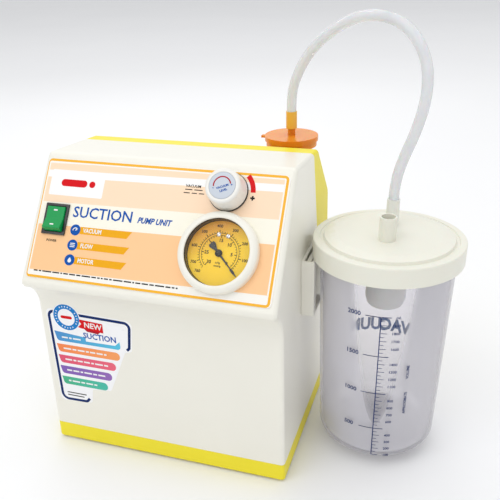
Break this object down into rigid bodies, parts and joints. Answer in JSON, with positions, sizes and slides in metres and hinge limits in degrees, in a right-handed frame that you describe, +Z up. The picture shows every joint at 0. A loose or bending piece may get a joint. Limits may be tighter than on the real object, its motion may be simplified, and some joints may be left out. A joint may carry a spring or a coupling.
{
  "type": "medical suction pump",
  "caption": "Bedside suction pump: sloping-front cabinet with vacuum gauge, regulator knob and rocker switch, filter, tube and a clear collection jar hung on its side.",
  "frame": {"origin": "middle of the underside, on the surface that the rubber feet stand on, the free tube left out", "axes": "+X to the right of the front, towards the jar; +Y towards the back; +Z up"},
  "size_m": [0.409, 0.2356, 0.4346],
  "materials": {
    "yellow_shell": "moulded, satin",
    "cream_shell": "moulded, fine grain",
    "rubber": "matt",
    "steel": "plated",
    "panel_print": "printed overlay",
    "black_plastic": "moulded",
    "clear_lens": "clear",
    "dial_print": "printed dial",
    "brass": "turned",
    "green_rocker": "translucent, glossy",
    "pale_plastic": "moulded",
    "painted_steel": "painted",
    "aluminium": "die cast",
    "clear_tube": "translucent, soft",
    "orange_filter": "translucent",
    "filter_paper": "felted",
    "amber_rubber": "soft",
    "black_paint": "painted",
    "cream_knob": "moulded",
    "knob_print": "printed",
    "seal_polymer": "filled polymer",
    "clear_jar": "clear moulded plastic",
    "cream_lid": "moulded"
  },
  "bodies": {
    "cabinet": {"base_tray": "yellow_shell", "front_shell": "cream_shell", "rear_shell": "yellow_shell", "rubber_feet": "rubber", "case_screws": "steel", "control_panel": "panel_print", "gauge_case": "black_plastic", "gauge_bezel": "cream_shell", "gauge_lens": "clear_lens", "gauge_dial": "dial_print", "bourdon_tube": "brass", "regulator_body": "brass", "knob_collar": "black_plastic", "switch_housing": "black_plastic", "power_inlet": "black_plastic", "fuse_holder": "black_plastic", "motor_capacitor": "pale_plastic", "motor_can": "painted_steel", "motor_stator": "steel", "end_cap_fan_side": "aluminium", "end_cap_pump_side": "aluminium", "motor_bearings": "steel", "crankcase": "aluminium", "crankcase_cover": "aluminium", "cylinder": "aluminium", "valve_plate": "steel", "cylinder_head": "aluminium", "head_screws": "steel", "pump_tray": "steel", "vibration_mounts": "rubber", "exhaust_muffler": "black_plastic", "inner_hoses": "clear_tube", "vacuum_manifold": "pale_plastic", "filter_port": "yellow_shell", "filter_base": "orange_filter", "filter_membrane": "filter_paper", "filter_top": "orange_filter", "filter_sleeve": "amber_rubber", "jar_bracket": "cream_shell", "bracket_screws": "steel", "tube_pump_side": "clear_tube"},
    "pointer": {"gauge_pointer": "black_paint"},
    "knob": {"vacuum_knob": "cream_knob", "knob_cap": "knob_print", "regulator_stem": "brass"},
    "rocker": {"switch_rocker": "green_rocker"},
    "rotor": {"motor_shaft": "steel", "rotor_core": "steel", "cooling_fan": "pale_plastic", "eccentric": "steel"},
    "piston": {"connecting_rod": "aluminium", "piston_seal": "seal_polymer"},
    "jar": {"collection_jar": "clear_jar", "jar_hanger": "cream_shell", "tube_jar_side": "clear_tube"},
    "lid": {"jar_lid": "cream_lid", "lid_seal": "rubber", "float_cage": "pale_plastic", "tube_connector": "pale_plastic"},
    "float": {"jar_float": "pale_plastic"}
  },
  "joints": [
    {"name": "pointer_turn", "type": "hinge", "parent": "cabinet", "child": "pointer", "pos_m": [-0.00614, -0.09067, 0.2447], "axis": [0, -0.808, 0.5892], "range_deg": [0, 270], "stiffness_Nm_per_rad": 0.00001},
    {"name": "knob_turn", "type": "hinge", "parent": "cabinet", "child": "knob", "pos_m": [-0.00704, -0.0572, 0.2906], "axis": [0, -0.808, 0.5892], "range_deg": [-270, 0]},
    {"name": "power_rocker", "type": "hinge", "parent": "cabinet", "child": "rocker", "pos_m": [-0.17594, -0.08061, 0.2568], "axis": [1, 0, 0], "range_deg": [0, 20]},
    {"name": "motor_spin", "type": "hinge", "parent": "cabinet", "child": "rotor", "pos_m": [0, 0.00232, 0.084], "axis": [1, 0, 0], "continuous": true},
    {"name": "piston_stroke", "type": "slide", "parent": "cabinet", "child": "piston", "axis": [0, 0, 1], "range_m": [-0.0035, 0.0035]},
    {"name": "jar_lift", "type": "slide", "parent": "cabinet", "child": "jar", "axis": [0, 0, 1], "range_m": [0, 0.08], "deforming": ["tube_pump_side"]},
    {"name": "lid_lift", "type": "slide", "parent": "jar", "child": "lid", "axis": [0, 0, 1], "range_m": [0, 0.06], "deforming": ["tube_jar_side"]},
    {"name": "float_rise", "type": "slide", "parent": "lid", "child": "float", "axis": [0, 0, 1], "range_m": [0, 0.009]}
  ]
}
